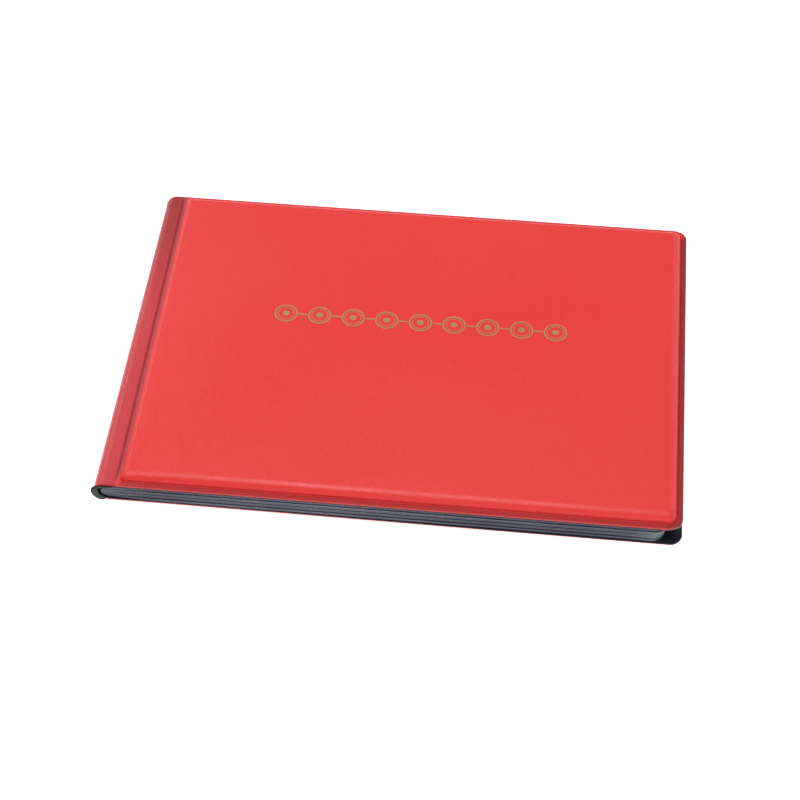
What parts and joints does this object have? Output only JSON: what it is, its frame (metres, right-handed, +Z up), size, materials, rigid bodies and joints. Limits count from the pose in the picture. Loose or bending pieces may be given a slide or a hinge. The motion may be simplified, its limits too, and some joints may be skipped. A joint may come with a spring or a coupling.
{
  "type": "coin album",
  "caption": "Landscape coin album: padded vinyl covers that fold about a soft rounded spine, holding hinged clear leaves with rows of open-topped coin pockets.",
  "frame": {"origin": "on the surface the closed album lies on, under the middle of its bounding box", "axes": "+X from the spine to the fore edge, +Y from the near long edge to the far one, +Z up through the closed album"},
  "size_m": [0.175, 0.125, 0.0109],
  "materials": {
    "red_vinyl": "satin",
    "navy_vinyl": "satin",
    "foam": "matte",
    "greyboard": "matte",
    "leaf_film": "gloss",
    "gold_foil": "satin"
  },
  "bodies": {
    "back_cover": {"back_cover_skin": "red_vinyl", "back_foam_pad": "foam", "back_board": "greyboard", "back_liner": "navy_vinyl"},
    "spine": {"spine_skin": "red_vinyl", "spine_liner": "navy_vinyl", "leaf_binding": "leaf_film"},
    "front_cover": {"front_cover_skin": "red_vinyl", "front_foam_pad": "foam", "front_board": "greyboard", "front_liner": "navy_vinyl", "front_foil_frieze": "gold_foil"},
    "leaf_01": {"leaf_01_film": "leaf_film", "leaf_01_near_pockets": "leaf_film", "leaf_01_middle_pockets": "leaf_film", "leaf_01_far_pockets": "leaf_film"},
    "leaf_02": {"leaf_02_film": "leaf_film", "leaf_02_near_pockets": "leaf_film", "leaf_02_middle_pockets": "leaf_film", "leaf_02_far_pockets": "leaf_film"},
    "leaf_03": {"leaf_03_film": "leaf_film", "leaf_03_near_pockets": "leaf_film", "leaf_03_middle_pockets": "leaf_film", "leaf_03_far_pockets": "leaf_film"},
    "leaf_04": {"leaf_04_film": "leaf_film", "leaf_04_near_pockets": "leaf_film", "leaf_04_middle_pockets": "leaf_film", "leaf_04_far_pockets": "leaf_film"},
    "leaf_05": {"leaf_05_film": "leaf_film", "leaf_05_near_pockets": "leaf_film", "leaf_05_middle_pockets": "leaf_film", "leaf_05_far_pockets": "leaf_film"},
    "leaf_06": {"leaf_06_film": "leaf_film", "leaf_06_near_pockets": "leaf_film", "leaf_06_middle_pockets": "leaf_film", "leaf_06_far_pockets": "leaf_film"},
    "leaf_07": {"leaf_07_film": "leaf_film", "leaf_07_near_pockets": "leaf_film", "leaf_07_middle_pockets": "leaf_film", "leaf_07_far_pockets": "leaf_film"},
    "leaf_08": {"leaf_08_film": "leaf_film", "leaf_08_near_pockets": "leaf_film", "leaf_08_middle_pockets": "leaf_film", "leaf_08_far_pockets": "leaf_film"},
    "leaf_09": {"leaf_09_film": "leaf_film", "leaf_09_near_pockets": "leaf_film", "leaf_09_middle_pockets": "leaf_film", "leaf_09_far_pockets": "leaf_film"},
    "leaf_10": {"leaf_10_film": "leaf_film", "leaf_10_near_pockets": "leaf_film", "leaf_10_middle_pockets": "leaf_film", "leaf_10_far_pockets": "leaf_film"}
  },
  "joints": [
    {"name": "cover_open", "type": "hinge", "parent": "spine", "child": "front_cover", "pos_m": [-0.08489, 0, 0.00809], "axis": [0, -1, 0], "range_deg": [0, 90]},
    {"name": "spine_fold", "type": "hinge", "parent": "back_cover", "child": "spine", "pos_m": [-0.08489, 0, 0.00271], "axis": [0, -1, 0], "range_deg": [0, 90]},
    {"name": "leaf_01_turn", "type": "hinge", "parent": "spine", "child": "leaf_01", "pos_m": [-0.08389, 0, 0.00326], "axis": [0, -1, 0], "range_deg": [-73.4, 0]},
    {"name": "leaf_02_turn", "type": "hinge", "parent": "spine", "child": "leaf_02", "pos_m": [-0.08389, 0, 0.0037], "axis": [0, -1, 0], "range_deg": [-57.2, 0]},
    {"name": "leaf_03_turn", "type": "hinge", "parent": "spine", "child": "leaf_03", "pos_m": [-0.08389, 0, 0.00415], "axis": [0, -1, 0], "range_deg": [-41, 0]},
    {"name": "leaf_04_turn", "type": "hinge", "parent": "spine", "child": "leaf_04", "pos_m": [-0.08389, 0, 0.0046], "axis": [0, -1, 0], "range_deg": [-24.8, 0]},
    {"name": "leaf_05_turn", "type": "hinge", "parent": "spine", "child": "leaf_05", "pos_m": [-0.08389, 0, 0.00505], "axis": [0, -1, 0], "range_deg": [-8.6, 0]},
    {"name": "leaf_06_turn", "type": "hinge", "parent": "spine", "child": "leaf_06", "pos_m": [-0.08389, 0, 0.00551], "axis": [0, -1, 0], "range_deg": [0, 8.6]},
    {"name": "leaf_07_turn", "type": "hinge", "parent": "spine", "child": "leaf_07", "pos_m": [-0.08389, 0, 0.00596], "axis": [0, -1, 0], "range_deg": [0, 24.8]},
    {"name": "leaf_08_turn", "type": "hinge", "parent": "spine", "child": "leaf_08", "pos_m": [-0.08389, 0, 0.00641], "axis": [0, -1, 0], "range_deg": [0, 41]},
    {"name": "leaf_09_turn", "type": "hinge", "parent": "spine", "child": "leaf_09", "pos_m": [-0.08389, 0, 0.00685], "axis": [0, -1, 0], "range_deg": [0, 57.2]},
    {"name": "leaf_10_turn", "type": "hinge", "parent": "spine", "child": "leaf_10", "pos_m": [-0.08389, 0, 0.0073], "axis": [0, -1, 0], "range_deg": [0, 73.4]}
  ],
  "couplings": [
    {"joint": "spine_fold", "follows": "cover_open", "ratio": 1},
    {"joint": "leaf_01_turn", "follows": "cover_open", "ratio": -0.81},
    {"joint": "leaf_02_turn", "follows": "cover_open", "ratio": -0.63},
    {"joint": "leaf_03_turn", "follows": "cover_open", "ratio": -0.45},
    {"joint": "leaf_04_turn", "follows": "cover_open", "ratio": -0.27},
    {"joint": "leaf_05_turn", "follows": "cover_open", "ratio": -0.09},
    {"joint": "leaf_06_turn", "follows": "cover_open", "ratio": 0.09},
    {"joint": "leaf_07_turn", "follows": "cover_open", "ratio": 0.27},
    {"joint": "leaf_08_turn", "follows": "cover_open", "ratio": 0.45},
    {"joint": "leaf_09_turn", "follows": "cover_open", "ratio": 0.63},
    {"joint": "leaf_10_turn", "follows": "cover_open", "ratio": 0.81}
  ]
}
